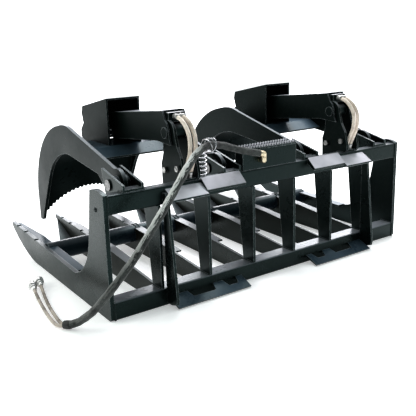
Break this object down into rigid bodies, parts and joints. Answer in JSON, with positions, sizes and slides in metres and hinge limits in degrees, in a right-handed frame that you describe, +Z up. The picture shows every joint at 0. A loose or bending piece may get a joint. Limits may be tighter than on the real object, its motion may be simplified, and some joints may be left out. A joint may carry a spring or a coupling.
{
  "type": "root grapple bucket",
  "caption": "Root grapple bucket for a skid-steer loader: open frame of tines with two hydraulic curved grapple arms, rear quick-attach coupler and hoses.",
  "frame": {"origin": "centre of the object's footprint on the floor, hoses left out", "axes": "X across the machine, +Y towards the tine tips, +Z up"},
  "size_m": [1.8673, 1.3365, 0.811],
  "materials": {
    "frame_paint": "semi-gloss",
    "chrome": "polished",
    "pin_steel": "zinc plated",
    "brass": "satin",
    "bundle_sleeve": "woven sleeve",
    "hose_rubber": "matt",
    "hose_sleeve": "woven sleeve"
  },
  "bodies": {
    "frame": {"side_plate_left": "frame_paint", "side_plate_right": "frame_paint", "edge_strips": "frame_paint", "tine_1": "frame_paint", "tine_2": "frame_paint", "tine_3": "frame_paint", "tine_4": "frame_paint", "tine_5": "frame_paint", "tine_6": "frame_paint", "spear_tips": "frame_paint", "upright_1": "frame_paint", "upright_2": "frame_paint", "upright_3": "frame_paint", "upright_4": "frame_paint", "upright_5": "frame_paint", "upright_6": "frame_paint", "bottom_tube": "frame_paint", "top_tube": "frame_paint", "cross_pipe": "frame_paint", "coupler_gussets": "frame_paint", "coupler_upper_plates": "frame_paint", "coupler_lower_lip_left": "frame_paint", "coupler_lower_lip_right": "frame_paint", "step_box": "frame_paint", "step_tread": "frame_paint", "hinge_bracket_1": "frame_paint", "hinge_bracket_2": "frame_paint", "hinge_bracket_3": "frame_paint", "hinge_bracket_4": "frame_paint", "cylinder_tower_left": "frame_paint", "cylinder_tower_right": "frame_paint", "hinge_pins": "pin_steel", "cylinder_base_pins": "pin_steel", "tower_bolts": "pin_steel", "hose_guide_spring": "pin_steel", "quick_couplers": "pin_steel", "hose_elbow": "brass", "hose_bundle": "bundle_sleeve", "tail_hose_outer": "hose_rubber", "tail_hose_inner": "hose_rubber", "cylinder_hose_left_outer": "hose_sleeve", "cylinder_hose_left_inner": "hose_sleeve", "cylinder_hose_right_outer": "hose_sleeve", "cylinder_hose_right_inner": "hose_sleeve"},
    "left_arm": {"hook_1": "frame_paint", "hook_2": "frame_paint", "arm_skin_left": "frame_paint", "nose_box_left": "frame_paint", "rod_pin_left": "pin_steel"},
    "left_cylinder": {"cylinder_barrel_left": "frame_paint", "cylinder_guard_left": "frame_paint"},
    "left_rod": {"cylinder_rod_left": "chrome"},
    "right_arm": {"hook_3": "frame_paint", "hook_4": "frame_paint", "arm_skin_right": "frame_paint", "nose_box_right": "frame_paint", "rod_pin_right": "pin_steel"},
    "right_cylinder": {"cylinder_barrel_right": "frame_paint", "cylinder_guard_right": "frame_paint"},
    "right_rod": {"cylinder_rod_right": "chrome"}
  },
  "joints": [
    {"name": "left_arm_hinge", "type": "hinge", "parent": "frame", "child": "left_arm", "pos_m": [-0.4675, -0.4185, 0.515], "axis": [1, 0, 0], "range_deg": [0, 45]},
    {"name": "left_cylinder_swing", "type": "hinge", "parent": "frame", "child": "left_cylinder", "pos_m": [-0.45, -0.4535, 0.7], "axis": [1, 0, 0], "range_deg": [0, 46.4]},
    {"name": "left_rod_pivot", "type": "hinge", "parent": "left_arm", "child": "left_rod", "pos_m": [-0.45, 0.1565, 0.64], "axis": [1, 0, 0], "range_deg": [0, 1.36]},
    {"name": "right_arm_hinge", "type": "hinge", "parent": "frame", "child": "right_arm", "pos_m": [0.4675, -0.4185, 0.515], "axis": [1, 0, 0], "range_deg": [0, 45]},
    {"name": "right_cylinder_swing", "type": "hinge", "parent": "frame", "child": "right_cylinder", "pos_m": [0.485, -0.4535, 0.7], "axis": [1, 0, 0], "range_deg": [0, 46.4]},
    {"name": "right_rod_pivot", "type": "hinge", "parent": "right_arm", "child": "right_rod", "pos_m": [0.485, 0.1565, 0.64], "axis": [1, 0, 0], "range_deg": [0, 1.36]}
  ],
  "couplings": [
    {"joint": "left_cylinder_swing", "follows": "left_arm_hinge", "ratio": 1.03},
    {"joint": "left_rod_pivot", "follows": "left_arm_hinge", "ratio": 0.03},
    {"joint": "right_cylinder_swing", "follows": "right_arm_hinge", "ratio": 1.03},
    {"joint": "right_rod_pivot", "follows": "right_arm_hinge", "ratio": 0.03}
  ]
}
